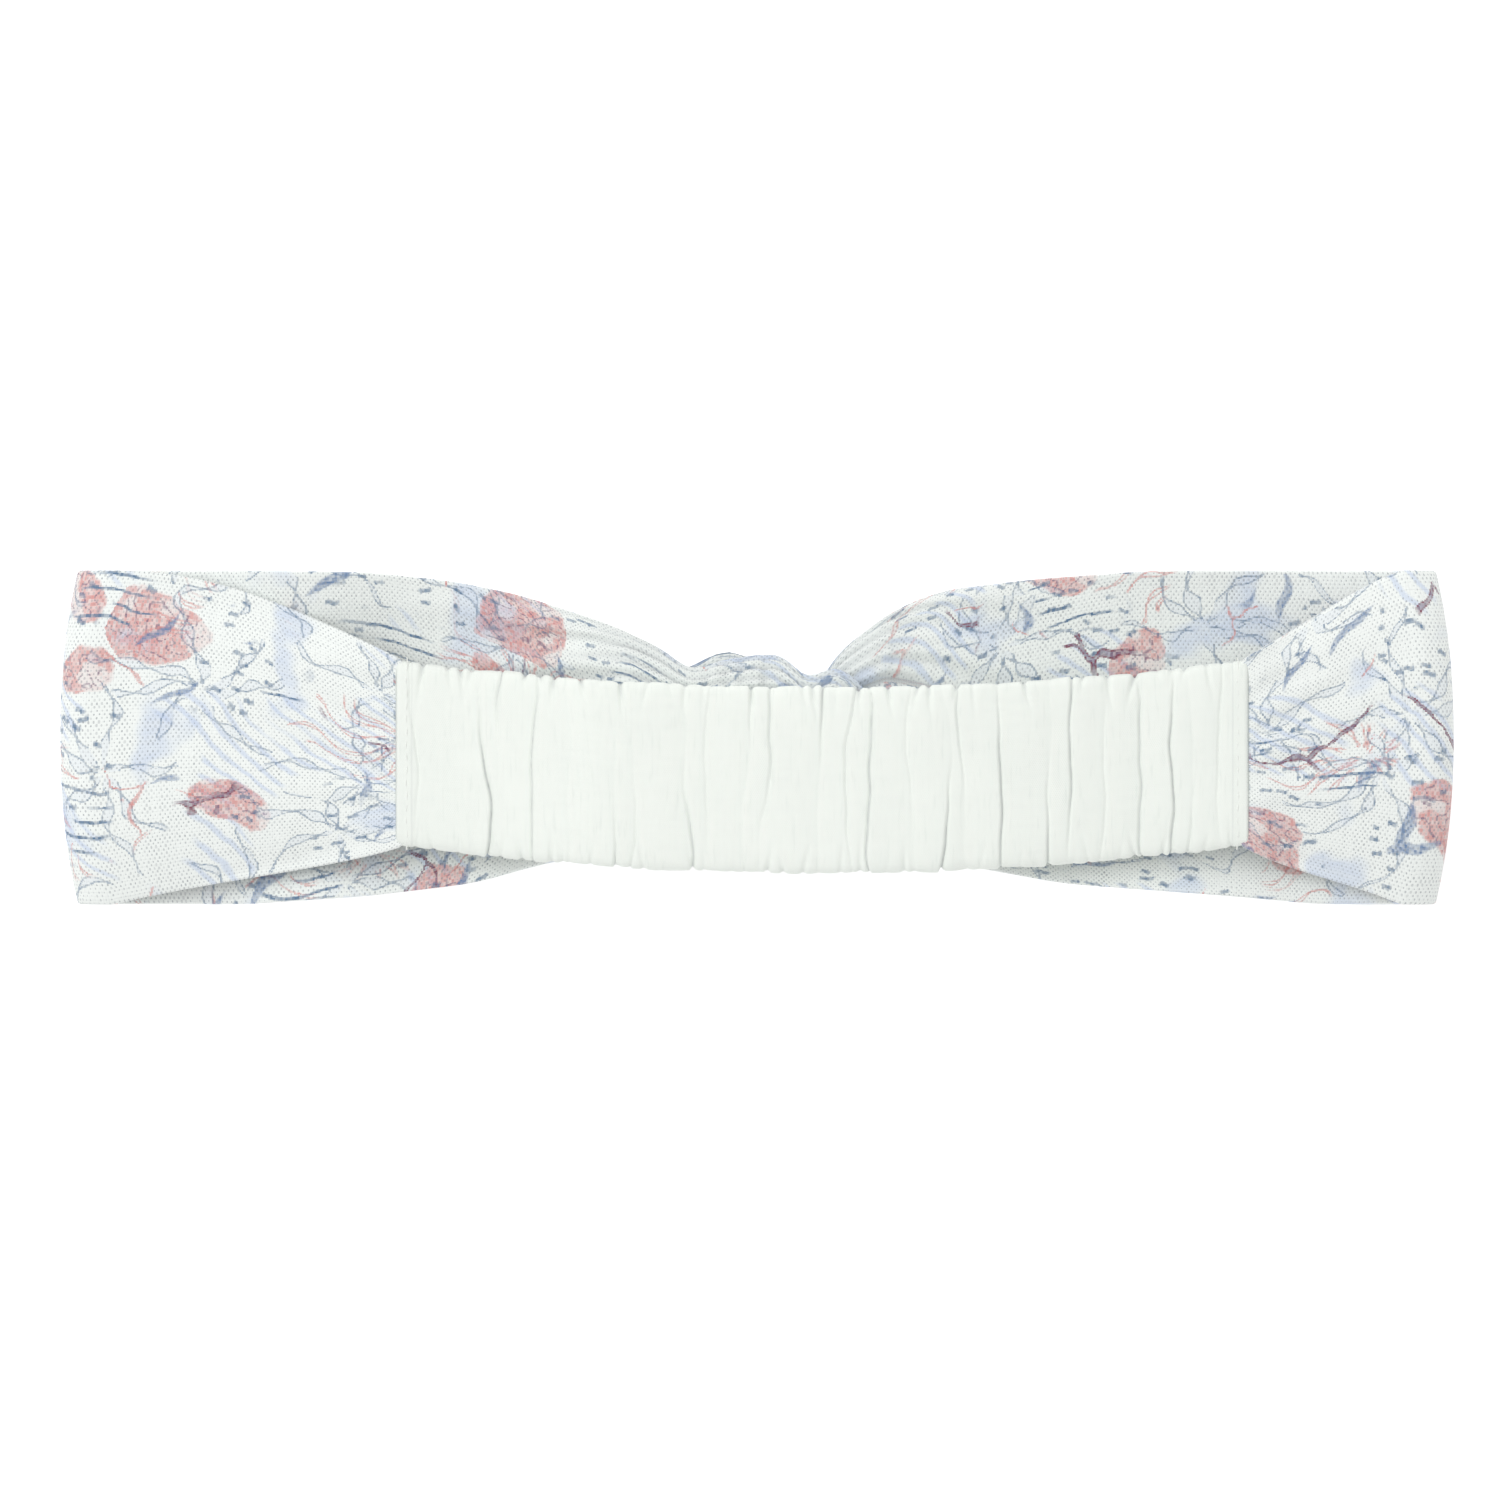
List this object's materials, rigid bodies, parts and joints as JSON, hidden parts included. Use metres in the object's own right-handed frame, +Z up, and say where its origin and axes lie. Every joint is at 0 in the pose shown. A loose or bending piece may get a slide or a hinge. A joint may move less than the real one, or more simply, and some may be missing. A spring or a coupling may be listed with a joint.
{
  "type": "knotted headband",
  "caption": "Soft knotted headband lying flat: printed cloth strips looped in a front knot, joined at the back by a gathered elastic casing.",
  "frame": {"origin": "on the table the band lies on, in the middle of its length and width, under the knot", "axes": "+X along the flat band towards the casing's longer side, +Y across the band, +Z up from the front face that lies down to the casing at the back"},
  "size_m": [0.2, 0.048, 0.0181],
  "materials": {
    "left_twist_strip": "printed cotton muslin",
    "right_twist_strip": "printed cotton muslin",
    "elastic_casing": "white cotton muslin",
    "flat_elastic": "woven elastic webbing",
    "cotton_thread": "spun cotton thread"
  },
  "bodies": {
    "right_side": {"right_twist_strip": "right_twist_strip", "right_end_seam_thread": "cotton_thread", "right_strip_seam_thread": "cotton_thread", "right_elastic_tack": "cotton_thread", "elastic_casing": "elastic_casing", "flat_elastic": "flat_elastic", "casing_seam_thread": "cotton_thread"},
    "left_side": {"left_twist_strip": "left_twist_strip", "left_end_seam_thread": "cotton_thread", "left_strip_seam_thread": "cotton_thread", "left_elastic_tack": "cotton_thread"}
  },
  "joints": [
    {"name": "stretch", "type": "slide", "parent": "right_side", "child": "left_side", "axis": [-1, 0, 0], "range_m": [0, 0.01], "stiffness_N_per_m": 130, "deforming": ["elastic_casing", "flat_elastic", "casing_seam_thread"]}
  ]
}
